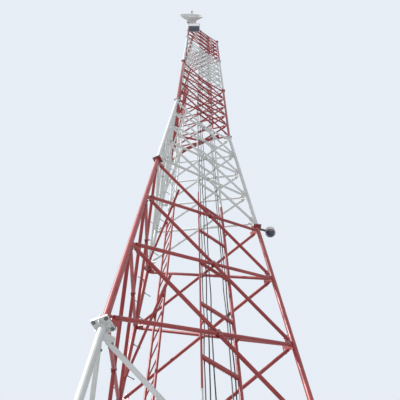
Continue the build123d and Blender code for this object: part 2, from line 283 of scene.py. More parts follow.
def weathered_paint(name, colour, faded, stain, rust, rough, chips):
    """Brushed gloss paint: patchy fading, rain streaks and small rust chips."""
    mat, tree, shader, at = new_material(name)
    patch = band_mask(tree, noise(tree, at, 1.1, detail=4.0), 0.38, 0.66)
    base = blend(tree, patch, colour, faded)
    streak = noise(tree, at, 9.0, detail=4.0, rough=0.6, stretch=(1.0, 1.0, 0.10))
    base = blend(tree, band_mask(tree, streak, 0.56, 0.80, to_high=0.55), base, stain)
    grime = noise(tree, at, 2.6, detail=5.0, rough=0.6, shift=(7, 3, 1))
    base = blend(tree, band_mask(tree, grime, 0.60, 0.78, to_high=0.45), base, stain)
    chip = band_mask(tree, noise(tree, at, 38.0, rough=0.5), chips, chips + 0.03)
    base = blend(tree, chip, base, rust)
    tree.links.new(base, shader.inputs["Base Color"])
    sheen = band_mask(tree, noise(tree, at, 5.0), 0.35, 0.70, rough - 0.06, rough + 0.12)
    tree.links.new(sheen, shader.inputs["Roughness"])
    bump(tree, shader, noise(tree, at, 90.0), 0.12, 0.002)
    return mat


def worn_metal(name, colour, worn, rough, metallic):
    mat, tree, shader, at = new_material(name)
    patch = band_mask(tree, noise(tree, at, 14.0, detail=4.0), 0.35, 0.68)
    tree.links.new(blend(tree, patch, colour, worn), shader.inputs["Base Color"])
    sheen = band_mask(tree, noise(tree, at, 22.0), 0.3, 0.7, rough - 0.08, rough + 0.12)
    tree.links.new(sheen, shader.inputs["Roughness"])
    shader.inputs["Metallic"].default_value = metallic
    bump(tree, shader, noise(tree, at, 120.0, detail=2.0), 0.10, 0.001)
    return mat


def smooth_sheath(name, colour, scuffed, rough):
    mat, tree, shader, at = new_material(name)
    scuff = noise(tree, at, 6.0, detail=4.0, rough=0.6, stretch=(1.0, 1.0, 0.2))
    scuff = band_mask(tree, scuff, 0.45, 0.75)
    tree.links.new(blend(tree, scuff, colour, scuffed), shader.inputs["Base Color"])
    shader.inputs["Roughness"].default_value = rough
    return mat


def dark_glass(name, colour, rough):
    mat, tree, shader, at = new_material(name)
    haze = band_mask(tree, noise(tree, at, 20.0), 0.5, 0.8, to_high=0.5)
    hazy = tuple(c * 2.2 for c in colour)
    tree.links.new(blend(tree, haze, colour, hazy), shader.inputs["Base Color"])
    shader.inputs["Roughness"].default_value = rough
    shader.inputs["Coat Weight"].default_value = 1.0
    shader.inputs["Coat Roughness"].default_value = 0.03
    return mat


def mix_paints(colours):
    red, white, dish, rust = (tuple(v) for v in (colours.red, colours.white, colours.dish, colours.rust))
    PAINTS["red"] = weathered_paint(
        "red_band_paint", red, (0.43, 0.070, 0.062), (0.17, 0.022, 0.028), rust, 0.40, 0.74)
    PAINTS["white"] = weathered_paint(
        "white_band_paint", white, (0.67, 0.67, 0.63), (0.42, 0.41, 0.36), rust, 0.42, 0.72)
    PAINTS["dish"] = weathered_paint(
        "dish_enamel", dish, (0.66, 0.66, 0.63), (0.58, 0.57, 0.54), rust, 0.35, 0.97)
    PAINTS["bolt"] = worn_metal(
        "galvanised_steel", (0.30, 0.31, 0.32), (0.16, 0.14, 0.12), 0.45, 0.85)
    PAINTS["dark"] = worn_metal(
        "dark_painted_steel", (0.055, 0.060, 0.070), (0.10, 0.10, 0.105), 0.55, 0.2)
    PAINTS["panel"] = worn_metal(
        "cabinet_floor_paint", (0.105, 0.125, 0.175), (0.135, 0.145, 0.175), 0.55, 0.0)
    PAINTS["cable"] = smooth_sheath(
        "cable_sheath", (0.018, 0.019, 0.022), (0.05, 0.05, 0.055), 0.5)
    PAINTS["lens"] = dark_glass("lamp_glass", (0.010, 0.018, 0.060), 0.06)
    PAINTS["seal"] = smooth_sheath("seal_rubber", (0.55, 0.22, 0.20), (0.45, 0.18, 0.16), 0.6)


# The three legs: flanges with four ribs each, welds, and a butt weld half way up a length
FLANGE_EDGE = 0.0025
RIB_H, RIB_T, RIB_CLEAR = 0.056, 0.008, 0.008
SEAM_HALF, SEAM_SWELL = 0.009, 1.035
BIG_FLANGE, BIG_BOLT, SMALL_BOLT = 0.160, 0.036, 0.024
FLANGE_STUD = 0.014
# Shares of a flange's thickness and of a bolt's width
TUBE_INTO, HEAD_SHARE, NUT_SHARE, EDGE_SHARE = 0.6, 0.45, 0.55, 0.85


def add_flange(bm, leg, z, sign, width, leg_d):
    """A flange on a tube's end, on the upper (1) or lower (-1) side of that height."""
    c = leg_at(leg, z)
    x, y = leg_axes(leg)
    face = z + sign * FLANGE_T
    add_block(bm, at_height(c, z + sign * FLANGE_T / 2), (width, width, FLANGE_T), UP, x, FLANGE_EDGE)
    r = leg_d / 2
    reach = width / 2 - r - RIB_CLEAR
    for d in (x, y, -x, -y):
        rib = at_height(c, face) + d * (r + reach / 2 - BITE)
        add_block(bm, rib + UP * sign * RIB_H / 2, (RIB_H, reach, RIB_T), UP.cross(d), UP, FINE)


def build_legs(colour):
    bm = bmesh.new()
    for band in bands_of(colour):
        dia = LEG_D[band]
        foot = BAND * band + (BASE_T if band == 0 else 0)
        head = BAND * (band + 1)
        for leg in ANGLE:
            a, b = leg_at(leg, foot + FLANGE_T * TUBE_INTO), leg_at(leg, head - FLANGE_T * TUBE_INTO)
            add_rod(bm, a, b, dia, 32)
            add_flange(bm, leg, foot, 1, FLANGES[band], dia)
            add_flange(bm, leg, head, -1, FLANGES[band + 1], dia)
            d = (b - a).normalized()
            add_weld(bm, leg_at(leg, foot + FLANGE_T), d, dia / 2)
            add_weld(bm, leg_at(leg, head - FLANGE_T), -d, dia / 2)
            mid = leg_at(leg, (foot + head) / 2)
            add_rod(bm, mid - d * SEAM_HALF, mid + d * SEAM_HALF, dia * SEAM_SWELL, 32)
    finish_piece("legs_" + colour + "_tubes", bm, colour, ("legs_" + colour,))


def corners(leg, z, off):
    """Four points on a square that is lined up with a leg's plates."""
    c = at_height(leg_at(leg, z), z)
    x, y = leg_axes(leg)
    return [c + x * sx * off + y * sy * off for sx in (-1, 1) for sy in (-1, 1)]


def build_flange_bolts():
    bm = bmesh.new()
    for level in range(1, BANDS):
        across = BIG_BOLT if FLANGES[level] > BIG_FLANGE else SMALL_BOLT
        for leg in ANGLE:
            for p in corners(leg, level * BAND, FLANGES[level] / 2 - across * EDGE_SHARE):
                add_bolt(bm, p - UP * FLANGE_T, -UP, across, across * HEAD_SHARE)
                add_bolt(bm, p + UP * FLANGE_T, UP, across, across * NUT_SHARE, FLANGE_STUD)
    finish_piece("flange_bolts", bm, "bolt")


# Crossed bracing of one side, with splice plates where two bars cross
SPLICE, SPLICE_T = 0.100, 0.008
BRACE_HEX, HEAD_T, NUT_T = 0.026, 0.012, 0.014
BOLT_RUN = 0.150


def bays(face, band):
    """Each bay of a face: the end points of its two bars, and the point where they cross."""
    u, v = FACES[face]
    levels = node_levels(band)
    for z0, z1 in zip(levels, levels[1:]):
        a, b = leg_at(u, z0), leg_at(v, z1)
        crossing = a + (b - a) * (side(z0) / (side(z0) + side(z1)))
        yield ((a, b), (leg_at(v, z0), leg_at(u, z1))), crossing


def build_bracing(face, colour):
    bm = bmesh.new()
    for band in bands_of(colour):
        across, up, out = face_axes(face, band)
        dia = BRACE_D[band]
        for bars, crossing in bays(face, band):
            for a, b in bars:
                d = (b - a).normalized()
                start = BRACE_START / abs(d.dot(across))
                add_rod(bm, a + d * start, b - d * start, dia, 20)
            for s in (-1, 1):
                add_block(bm, crossing + out * s * (dia / 2 - BITE), (SPLICE, SPLICE, SPLICE_T),
                          out, up + across, PLAIN)
        r = LEG_D[band] / 2
        for leg, inward in zip(FACES[face], (across, -across)):
            for z in node_levels(band):
                mid = leg_at(leg, z) + inward * ((GUSSET_OUT + r) / 2 - BITE / 2)
                add_block(bm, mid, (GUSSET_OUT - r + BITE, GUSSET_H, GUSSET_T), out, inward, PLAIN)
    name = face + "_bracing_" + colour
    finish_piece(name + "_tubes", bm, colour, (name,))


def build_brace_bolts():
    """One bolt through each bar end and one through each crossing."""
    bm = bmesh.new()
    for face in FACES:
        for band in range(BANDS):
            across, _, out = face_axes(face, band)
            skin = BRACE_D[band] / 2
            for bars, crossing in bays(face, band):
                for a, b in bars:
                    d = (b - a).normalized()
                    run = BOLT_RUN / abs(d.dot(across))
                    for p in (a + d * run, b - d * run):
                        add_hex(bm, p + out * (skin - BITE), out, BRACE_HEX, HEAD_T)
                        add_hex(bm, p - out * (skin - BITE), -out, BRACE_HEX, NUT_T)
                for s in (-1, 1):
                    add_hex(bm, crossing + out * s * (skin + BITE), out * s, BRACE_HEX, HEAD_T)
    finish_piece("brace_bolts", bm, "bolt")


def build_all_bracing():
    for face in FACES:
        for colour in COLOURS:
            build_bracing(face, colour)
    build_brace_bolts()


# Level frame just above the end of the taper
FRAME_Z = 18.4
FRAME_WIDE, FRAME_TALL, FRAME_REACH, FRAME_T = 0.090, 0.064, 0.700, 0.008
CROSS_WIDE, CROSS_TALL, CROSS_LEFT, CROSS_BACK = 0.060, 0.042, -0.260, 0.204


def frame_bar(face):
    """Middle of the level bar behind one face, and the face's across and outward directions."""
    u, v = FACES[face]
    across, _, out = face_axes(face, STRAIGHT_FROM)
    mid = (leg_at(u, FRAME_Z) + leg_at(v, FRAME_Z)) / 2
    return mid - out * ((BRACE_D[STRAIGHT_FROM] + FRAME_WIDE) / 2), across, out


def build_frame():
    """Two channel bars behind the back and left sides, and a square brace between them."""
    bm = bmesh.new()
    for face in ("back", "left"):
        mid, across, out = frame_bar(face)
        a, b = mid - across * FRAME_REACH, mid + across * FRAME_REACH
        for s in (-1, 1):
            lift = UP * s * (FRAME_TALL - FRAME_T) / 2
            add_plank(bm, a + lift, b + lift, FRAME_WIDE, FRAME_T, UP, FINE)
        web = out * (FRAME_WIDE - FRAME_T) / 2
        add_plank(bm, a + web, b + web, FRAME_TALL - BITE, FRAME_T, out, FINE)
    left_mid, left_across, _ = frame_bar("left")
    back_mid, back_across, _ = frame_bar("back")
    a = left_mid + left_across * CROSS_LEFT
    b = back_mid - back_across * CROSS_BACK
    add_plank(bm, a, b, CROSS_WIDE, CROSS_TALL, UP, BOLD)
    finish_piece("taper_frame_bars", bm, "red", ("taper_frame",))


# Feeder ladder behind the right side
FEEDER_FOOT = 0.300
RAIL_WIDE, RAIL_DEEP, RAIL_T = 0.030, 0.044, 0.006
RAIL_TUBE_D = 0.057
LEFT_RAIL, RIGHT_RAIL = -0.265, 0.368
RAIL_MID = 0.097
LEAN_START, LEAN = 0.007, 0.003
SPACER_WIDE, SPACER_TALL = 0.024, 0.038
CROSSBAR_FIRST, CROSSBAR_PITCH = 0.600, 1.200
CROSSBAR_H, CROSSBAR_T, CROSSBAR_WALL, CROSSBAR_EDGE = 0.060, 0.044, 0.005, 0.006
CROSSBAR_SINK = 0.006
LIP_WIDE, LIP_BACK = 0.034, 0.004
TEETH, TOOTH, TOOTH_OUT = 22, (0.014, 0.009, 0.005), 0.0165


def lean_at(z):
    return LEAN_START + LEAN * min(z, STRAIGHT_FROM * BAND)


def feeder_point(x, z, depth, band):
    """A point of the ladder: across the face, at a height, and behind the face."""
    u, v = FACES["right"]
    across, up, out = face_axes("right", band)
    foot = (leg_at(u, band * BAND) + leg_at(v, band * BAND)) / 2
    return foot + up * ((z - band * BAND) / up.z) + across * (x + lean_at(z)) - out * depth


def brace_crossings(x, band):
    """Heights where a bracing bar passes the rail at x, found by closing in on each."""
    levels = node_levels(band)
    hits = []
    for z0, z1 in zip(levels, levels[1:]):
        for s in (1, -1):
            share = 0.5
            for _ in range(30):
                z = z0 + (z1 - z0) * share
                share = 0.5 + s * (x + lean_at(z)) / side(z)
            hits.append(z0 + (z1 - z0) * share)
    return sorted(hits)


def crossbar_levels(band):
    count = round(BAND / CROSSBAR_PITCH)
    return [band * BAND + CROSSBAR_FIRST + CROSSBAR_PITCH * i for i in range(count)]


def add_feeder_rail(bm, x, band):
    """One length of a rail, and the two spacers that hold it to the bracing."""
    across, up, out = face_axes("right", band)
    foot = band * BAND + (FEEDER_FOOT if band == 0 else 0)
    a, b = feeder_point(x, foot, RAIL_MID, band), feeder_point(x, (band + 1) * BAND, RAIL_MID, band)
    if x == LEFT_RAIL:
        # An angle: one leg in the outer plane, the other inward on the crossbars' side
        leg = out * (RAIL_DEEP - RAIL_T) / 2
        add_plank(bm, a + leg, b + leg, RAIL_WIDE, RAIL_T, out, FINE)
        leg = across * (RAIL_WIDE - RAIL_T) / 2
        add_plank(bm, a + leg, b + leg, RAIL_T, RAIL_DEEP - BITE / 2, out, FINE)
        front = RAIL_MID - RAIL_DEEP / 2
    else:
        add_rod(bm, a, b, RAIL_TUBE_D, 24)
        front = RAIL_MID - RAIL_TUBE_D / 2
    hits = brace_crossings(x, band)
    for z in (hits[1], hits[-2]):
        near = feeder_point(x, z, BRACE_D[band] / 2 - BITE, band)
        far = feeder_point(x, z, front + BITE, band)
        add_plank(bm, near, far, SPACER_WIDE, SPACER_TALL, up, FINE)


def add_crossbar(bm, z, band):
    """A channel: a web to the outside, and two toothed lips that the clamps hook on."""
    across, up, out = face_axes("right", band)
    a = feeder_point(LEFT_RAIL + RAIL_WIDE / 2, z, RAIL_MID, band)
    b = feeder_point(RIGHT_RAIL - RAIL_TUBE_D / 2 + CROSSBAR_SINK, z, RAIL_MID, band)
    web = out * (CROSSBAR_T - CROSSBAR_EDGE) / 2
    add_plank(bm, a + web, b + web, CROSSBAR_H - BITE, CROSSBAR_WALL, out, FINE)
    for s in (-1, 1):
        lip = up * s * (CROSSBAR_H - CROSSBAR_EDGE) / 2
        back = out * LIP_BACK
        add_plank(bm, a + lip + back, b + lip + back, LIP_WIDE, CROSSBAR_WALL, up, FINE)
        for i in range(TEETH):
            p = a + (b - a) * ((i + 0.5) / TEETH)
            add_block(bm, p + lip - out * TOOTH_OUT, TOOTH, up, across)


def build_feeder_ladder(colour):
    bm = bmesh.new()
    for band in bands_of(colour):
        for x in (LEFT_RAIL, RIGHT_RAIL):
            add_feeder_rail(bm, x, band)
        for z in crossbar_levels(band):
            add_crossbar(bm, z, band)
    name = "feeder_ladder_" + colour
    finish_piece(name + "_rails", bm, colour, (name,))


# Cables on the feeder ladder's crossbars
CABLE_D = 0.018
CABLES = (-0.175, -0.100, -0.028, 0.268, 0.322)
CABLE_DEPTH = RAIL_MID + CROSSBAR_T / 2 + CABLE_D / 2 + 0.0005
CABLE_FOOT, CABLE_RUN, CABLE_STEPS = 0.5, TOP - 0.8, 140
SLOW_SWAY, QUICK_SWAY, SLACK = 0.006, 0.004, 0.003
CLAMP, CLAMP_LIFT, CLAMP_DROP = (0.026, 0.024, 0.014), 0.004, 0.001
HOOK_D, HOOK_FROM, HOOK_TO = 0.006, 0.010, 0.020


def ring_edges(ring):
    return list({e for v in ring for e in v.link_edges if e.other_vert(v) in ring})


def build_cables():
    """Sheathed cables, a little slack between their clamps."""
    bm = bmesh.new()
    for n, x in enumerate(CABLES):
        rings = []
        for i in range(CABLE_STEPS + 1):
            z = CABLE_FOOT + CABLE_RUN * i / CABLE_STEPS
            band = band_at(z)
            across, up, out = face_axes("right", band)
            sway = SLOW_SWAY * math.sin(z * 2.7 + n * 1.9) + QUICK_SWAY * math.sin(z * 5.3 + n)
            sag = SLACK * (1 + math.sin(z * 3.1 + n * 2.3))
            p = feeder_point(x, z, CABLE_DEPTH, band) + across * sway - out * sag
            ring = bmesh.ops.create_circle(bm, cap_ends=False, segments=10, radius=CABLE_D / 2,
                                           matrix=placed(p, up, across))
            rings.append(ring["verts"])
        for lo, hi in zip(rings, rings[1:]):
            bmesh.ops.bridge_loops(bm, edges=ring_edges(lo) + ring_edges(hi))
        for ring in (rings[0], rings[-1]):
            bmesh.ops.contextual_create(bm, geom=ring)
    bmesh.ops.recalc_face_normals(bm, faces=bm.faces)
    finish_piece("feeder_cable_run", bm, "cable", ("feeder_cables",))


def build_cable_clamps():
    bm = bmesh.new()
    for band in range(BANDS):
        across, up, out = face_axes("right", band)
        for z in crossbar_levels(band):
            for x in CABLES:
                p = feeder_point(x, z - CLAMP_DROP, CABLE_DEPTH, band)
                add_block(bm, p + up * CLAMP_LIFT, CLAMP, up, across, BOLD)
                add_rod(bm, p - out * HOOK_FROM, p - out * HOOK_TO, HOOK_D, 8)
    finish_piece("cable_clamps", bm, "bolt")


def build_cable_run():
    build_cables()
    build_cable_clamps()


# Climbing ladder and its stays
LADDER_W = 0.445
LADDER_RAIL_D = 0.042
LADDER_FOOT, LADDER_SHORT = 0.4, 0.2
RUNG_D, RUNG_PITCH, RUNG_MARGIN = 0.022, 0.375, 0.15
COLLAR_FROM, COLLAR_TO, COLLAR_D = 0.018, 0.027, 0.032
STAY_D, STAY_NEAR = 0.050, 0.420
STAY_LOW, STAY_HIGH = 2.6, 0.06
STAY_PAST, STAY_BACK = 0.040, -0.038
# Distances from stay to leg from which the stay runs past it, and needs a bracket
PAST_FROM, BRACKET_FROM = 0.075, 0.060
LEG_BRACKET, LEG_BRACKET_T = 0.050, 0.012
SADDLE, SADDLE_OUT = (0.050, 0.058, 0.036), 0.024
LAD_DIR = Vector((-1, 1, 0)).normalized()
LAD_OUT = Vector((-1, -1, 0)).normalized()
LAD_NEAR = Vector((-0.125, CY - 0.440, 0))
LAD_FAR = LAD_NEAR + LAD_DIR * LADDER_W


def ladder_head(band):
    return (band + 1) * BAND if band < BANDS - 1 else TOP - LADDER_SHORT


def stay_levels(band):
    heights = (band * BAND + STAY_LOW, (band + 1) * BAND - STAY_HIGH)
    return [z for z in heights if z <= ladder_head(band)]


def build_climbing_ladder(colour):
    bm = bmesh.new()
    for band in bands_of(colour):
        z0 = band * BAND + (LADDER_FOOT if band == 0 else 0)
        z1 = ladder_head(band)
        for foot in (LAD_NEAR, LAD_FAR):
            add_rod(bm, foot + UP * z0, foot + UP * z1, LADDER_RAIL_D, 16)
        count = int((z1 - z0 - RUNG_MARGIN) / RUNG_PITCH + 1e-6)
        first = z0 + (z1 - z0 - (count - 1) * RUNG_PITCH) / 2
        for i in range(count):
            z = UP * (first + i * RUNG_PITCH)
            add_rod(bm, LAD_NEAR + z, LAD_FAR + z, RUNG_D, 12)
            for foot, d in ((LAD_NEAR, LAD_DIR), (LAD_FAR, -LAD_DIR)):
                add_rod(bm, foot + z + d * COLLAR_FROM, foot + z + d * COLLAR_TO, COLLAR_D, 12, RUNG_D)
    name = "climbing_ladder_" + colour
    finish_piece(name + "_tubes", bm, colour, (name,))


def build_stays(colour):
    """Level tubes that hold the ladder to the left leg, some with a small cross bracket."""
    bm = bmesh.new()
    for band in bands_of(colour):
        for z in stay_levels(band):
            lift = UP * z
            foot = at_height(leg_at("r", z), 0)
            line = LAD_NEAR + LAD_OUT * (LADDER_RAIL_D / 2 + STAY_D / 2)
            run = (foot - LAD_NEAR).dot(LAD_DIR)
            off = (foot - line).dot(LAD_OUT)
            reach = STAY_PAST if abs(off) > PAST_FROM else STAY_BACK
            add_rod(bm, line - LAD_DIR * STAY_NEAR + lift, line + LAD_DIR * (run + reach) + lift, STAY_D)
            if abs(off) > BRACKET_FROM:
                a = line + LAD_DIR * run + lift
                b = a + LAD_OUT * (off - math.copysign(LEG_D[band] / 2 - BITE, off))
                add_plank(bm, a, b, LEG_BRACKET, LEG_BRACKET_T, UP, FINE)
                add_plank(bm, a, b, LEG_BRACKET_T, LEG_BRACKET, UP, FINE)
            # Saddles that clamp the rails to the stay
            for rail in (LAD_NEAR, LAD_FAR):
                add_block(bm, rail + LAD_OUT * SADDLE_OUT + lift, SADDLE, LAD_OUT, LAD_DIR, BOLD)
    name = "climbing_stays_" + colour
    finish_piece(name + "_tubes", bm, colour, (name,))


# Step bolts on the left leg, to its two sides in turn
STEP_FIRST, STEP_PITCH, STEP_SHORT = 0.7, 0.400, 0.2
STEP_D, STEP_OUT = 0.018, 0.150
KNOB_SWELL, KNOB_T = 1.9, 0.008
STEP_HEX, STEP_HEX_T, STEP_HEX_AT = 0.034, 0.016, 0.003
FLANGE_ROOM, NODE_ROOM = 0.06, 0.03


def clear_for_step(z):
    """Whether a height is clear of the flanges and gussets."""
    near_flange = min(z % BAND, BAND - z % BAND) < FLANGE_ROOM
    return not near_flange and all(
        abs(z - level) >= GUSSET_H / 2 + NODE_ROOM for level in node_levels(band_at(z)))


def build_step_bolts():
    bm = bmesh.new()
    sideways = leg_axes("r")[1]
    count = math.ceil((TOP - STEP_SHORT - STEP_FIRST) / STEP_PITCH)
    for i in range(count):
        z = STEP_FIRST + STEP_PITCH * i
        if not clear_for_step(z):
            continue
        d = sideways if i % 2 else -sideways
        r = LEG_D[band_at(z)] / 2
        middle = leg_at("r", z)
        a, b = middle + d * (r - 2 * BITE), middle + d * (r + STEP_OUT)
        add_rod(bm, a, b, STEP_D, 12)
        add_rod(bm, b - d * KNOB_T, b, STEP_D * KNOB_SWELL, 12)
        add_hex(bm, a + d * STEP_HEX_AT, d, STEP_HEX, STEP_HEX_T)
    finish_piece("step_bolt_pegs", bm, "bolt", ("step_bolts",))


# Base plates
BASE_BOLTS, BASE_NUT, BASE_NUT_T, BASE_STUD = 0.150, 0.046, 0.026, 0.030


def build_base():
    bm = bmesh.new()
    for leg in ANGLE:
        add_block(bm, at_height(leg_at(leg, 0), BASE_T / 2), (BASE_PLATE, BASE_PLATE, BASE_T),
                  UP, leg_axes(leg)[0], BOLD)
    finish_piece("base_plate_set", bm, "white", ("base_plates",))
    bm = bmesh.new()
    for leg in ANGLE:
        for p in corners(leg, 0, BASE_BOLTS):
            add_bolt(bm, p + UP * BASE_T, UP, BASE_NUT, BASE_NUT_T, BASE_STUD)
    finish_piece("base_nuts", bm, "bolt")


# Cabinet outside the front leg
LEG_P_TOP = leg_at("p", TOP)
CAB_W, CAB_D, CAB_H = 0.575, 0.300, 0.800
CAB_Z = 31.5
CAB_TURN = math.radians(23.3)
CAB_GAP, CAB_RIGHT = 0.047, 0.030
ALONG = Vector((math.cos(CAB_TURN), math.sin(CAB_TURN), 0))
INWARD = UP.cross(ALONG)
CABINET = (at_height(LEG_P_TOP, CAB_Z) + ALONG * (CAB_W / 2 + CAB_RIGHT)
           - INWARD * (CAB_D / 2 + CAB_GAP))
FLOOR_EDGE, FLOOR_T = 0.015, 0.012
ROOF_OUT, ROOF_T, ROOF_EDGE = 0.015, 0.025, 0.004
DOOR, DOOR_MID, DOOR_LIFT = (0.268, 0.006, 0.700), 0.140, 0.395
DOOR_PROUD, HINGE_PROUD, LATCH_PROUD = 0.001, 0.004, 0.008
HINGE_SIDE, HINGE_D, HINGE_HALF, HINGES_AT = 0.270, 0.012, 0.025, (0.12, 0.40, 0.67)
LATCH, LATCH_SIDE, LATCH_LIFT, LATCH_EDGE = (0.016, 0.010, 0.090), 0.020, 0.400, 0.002
LOUVRES, LOUVRE, LOUVRE_LOW, LOUVRE_PITCH = 8, (0.008, 0.180, 0.010), 0.50, 0.024
VENT_IN = 0.02
PANEL_W, PANEL_D = CAB_W - 2 * FLOOR_EDGE, CAB_D - 2 * FLOOR_EDGE
PANEL_T, PANEL_LIFT = 0.008, 0.008
VENT_BARS, VENT_BAR, VENT_PITCH, VENT_FROM = 17, (0.010, 0.200, 0.007), 0.030, 0.032
GLANDS, GLAND_D, GLAND_T, GLAND_PITCH = 6, 0.034, 0.010, 0.08
GLAND_FROM, GLAND_OUT = -0.20, -0.112
BRACKET_H, BRACKET_L, BRACKET_T = 0.050, 0.560, 0.006
BRACKETS_AT = (0.2, 0.6)
BRACKET_HEX, BRACKET_HEX_T, BRACKET_BOLTS = 0.024, 0.010, (0.16, 0.46)


def cab_point(x, y, z):
    return CABINET + ALONG * x + INWARD * y + UP * z


def add_cab_block(bm, x, y, z, size, soft=0.0):
    add_block(bm, cab_point(x, y, z), size, UP, ALONG, soft)


def build_cabinet_shell():
    bm = bmesh.new()
    w, d = CAB_W / 2, CAB_D / 2
    shell_h = CAB_H - ROOF_T
    add_cab_block(bm, 0, 0, (shell_h + FLOOR_T) / 2, (CAB_W, CAB_D, shell_h - FLOOR_T), BOLD)
    # Frame round the dark floor panel
    for s in (-1, 1):
        add_cab_block(bm, s * (w - FLOOR_EDGE / 2), 0, FLOOR_T / 2, (FLOOR_EDGE, CAB_D, FLOOR_T))
        add_cab_block(bm, 0, s * (d - FLOOR_EDGE / 2), FLOOR_T / 2, (PANEL_W, FLOOR_EDGE, FLOOR_T))
    add_cab_block(bm, 0, -ROOF_OUT / 2, CAB_H - ROOF_T / 2,
                  (CAB_W + 2 * ROOF_OUT, CAB_D + ROOF_OUT, ROOF_T), ROOF_EDGE)
    # Two doors with a seam, hinges and a latch on the outer face
    for s in (-1, 1):
        add_cab_block(bm, s * DOOR_MID, -d - DOOR_PROUD, DOOR_LIFT, DOOR, PLAIN)
        for h in HINGES_AT:
            at = cab_point(s * HINGE_SIDE, -d - HINGE_PROUD, h)
            add_rod(bm, at - UP * HINGE_HALF, at + UP * HINGE_HALF, HINGE_D, 10)
    add_cab_block(bm, LATCH_SIDE, -d - LATCH_PROUD, LATCH_LIFT, LATCH, LATCH_EDGE)
    # Louvres on the two ends
    for s in (-1, 1):
        for k in range(LOUVRES):
            add_cab_block(bm, s * w, VENT_IN, LOUVRE_LOW + k * LOUVRE_PITCH, LOUVRE, FINE)
    finish_piece("cabinet_shell", bm, "dish", ("cabinet_case",))


def build_cabinet_floor():
    """The dark panel with a vent of narrow bars and a row of cable glands."""
    bm = bmesh.new()
    add_cab_block(bm, 0, 0, PANEL_LIFT, (PANEL_W, PANEL_D, PANEL_T))
    for k in range(VENT_BARS):
        add_cab_block(bm, VENT_FROM - PANEL_W / 2 + k * VENT_PITCH, VENT_IN, VENT_BAR[2] / 2, VENT_BAR, FINE)
    for k in range(GLANDS):
        at = cab_point(GLAND_FROM + k * GLAND_PITCH, GLAND_OUT, 0.0)
        add_rod(bm, at, at + UP * GLAND_T, GLAND_D)
    finish_piece("cabinet_floor_panel", bm, "panel", ("cabinet_floor",))


def build_cabinet_brackets():
    """Two channels that stand off the front leg."""
    bm = bmesh.new()
    half = CAB_GAP / 2
    clear = math.sqrt((LEG_D[-1] / 2) ** 2 - half ** 2)
    for rise in BRACKETS_AT:
        start = at_height(LEG_P_TOP, CAB_Z + rise) - INWARD * half
        a, b = start + ALONG * clear, start + ALONG * BRACKET_L
        wall = INWARD * (half - BRACKET_T / 2)
        top = UP * (BRACKET_H / 2 - BRACKET_T / 2)
        add_plank(bm, a + wall, b + wall, BRACKET_H, BRACKET_T, INWARD, FINE)
        add_plank(bm, a - wall, b - wall, BRACKET_H, BRACKET_T, INWARD, FINE)
        add_plank(bm, a + top, b + top, CAB_GAP - BITE, BRACKET_T, UP, FINE)
        for run in BRACKET_BOLTS:
            at = start + ALONG * run + INWARD * half
            add_hex(bm, at - INWARD * BITE / 2, -INWARD, BRACKET_HEX, BRACKET_HEX_T)
    finish_piece("cabinet_bracket_pair", bm, "bolt", ("cabinet_brackets",))


def build_cabinet():
    build_cabinet_shell()
    build_cabinet_floor()
    build_cabinet_brackets()


# Dish aerial on its pole
DISH_D, DISH_DEPTH, SHELL, SHELL_IN = 1.340, 0.291, 0.010, 0.006
DISH_AXIS = Vector((0.448, -0.894, 0)).normalized()
DISH_SIDE = UP.cross(DISH_AXIS).normalized()
DISH_AT = Vector((LEG_P_TOP.x + 0.206, LEG_P_TOP.y - 0.155, 34.2))
CURVE = DISH_DEPTH / (DISH_D / 2) ** 2
CURVE_STEPS = 16
HUB_D, HUB_BACK, HUB_EDGE, HUB_CORE, HUB_STEP = 0.576, 0.040, 0.012, 0.020, 0.200
HUB_BOLTS, HUB_HEX, HUB_HEX_T, HUB_BOLT_IN = 8, 0.022, 0.010, 0.030
FEED_TIP, BOOM_D, HORN_D, HORN_L = 0.573, 0.042, 0.098, 0.220
HORN_FLARE, HORN_LIP, HORN_ROUND = 0.045, 0.015, 0.020
BOOM_FROM, BOOM_SINK, BOOM_SWELL = 0.011, 0.005, 0.012
POST_D, POST_LEFT, POST_OUT = 0.076, 0.045, 0.094
POST_FOOT, POST_HEAD = 31.7, 34.6
POST_CAP, POST_CAP_D, POST_CAP_T = 0.020, 0.080, 0.006
POST_AT = LEG_P_TOP - ALONG * POST_LEFT - INWARD * POST_OUT
ARMS_AT = (31.95, 34.3)
ARM_WIDE, ARM_BOLT_IN, ARM_HEX, ARM_HEX_T = 0.048, 0.020, 0.018, 0.008
CLAMPS_AT = (-0.090, 0.090)
JAW, JAW_BACK = (0.120, 0.070, 0.021), -0.0505
CHEEK, CHEEK_SIDE, CHEEK_BACK = (0.020, 0.066, 0.078), 0.049, -0.080
U_BOLT_D, U_BOLT_FROM, U_BOLT_TO = 0.012, -0.045, -0.119
YOKE_BAR, YOKE_W, YOKE_T, YOKE_BACK = 0.050, 0.520, 0.030, 0.096
YOKE_FOOT, YOKE_FOOT_T, YOKE_FOOT_IN = 0.080, 0.008, 0.010


def dish_point(along, across=0.0, lift=0.0):
    return DISH_AT + DISH_AXIS * along + DISH_SIDE * across + UP * lift


def add_dish_block(bm, along, across, lift, size, soft=BOLD):
    add_block(bm, dish_point(along, across, lift), size, DISH_AXIS, DISH_SIDE, soft)


def build_bowl():
    """A thin paraboloid shell with a rolled rim."""
    bm = bmesh.new()
    rim = DISH_D / 2
    steps = [rim * i / CURVE_STEPS for i in range(CURVE_STEPS + 1)]
    outer = [(r, CURVE * r ** 2) for r in steps]
    lip = [(rim + r, DISH_DEPTH + h) for r, h in (
        (0.004, -0.004), (0.008, 0.002), (0.008, 0.018), (0.004, 0.022), (-0.004, 0.022))]
    inner = [(r - SHELL_IN * r / rim, h + SHELL) for r, h in outer[::-1]]
    add_turned(bm, outer[1:-1] + lip + inner[:-1], DISH_AT, DISH_AXIS, fill=True)
    finish_piece("dish_bowl", bm, "dish", ("dish_reflector",))


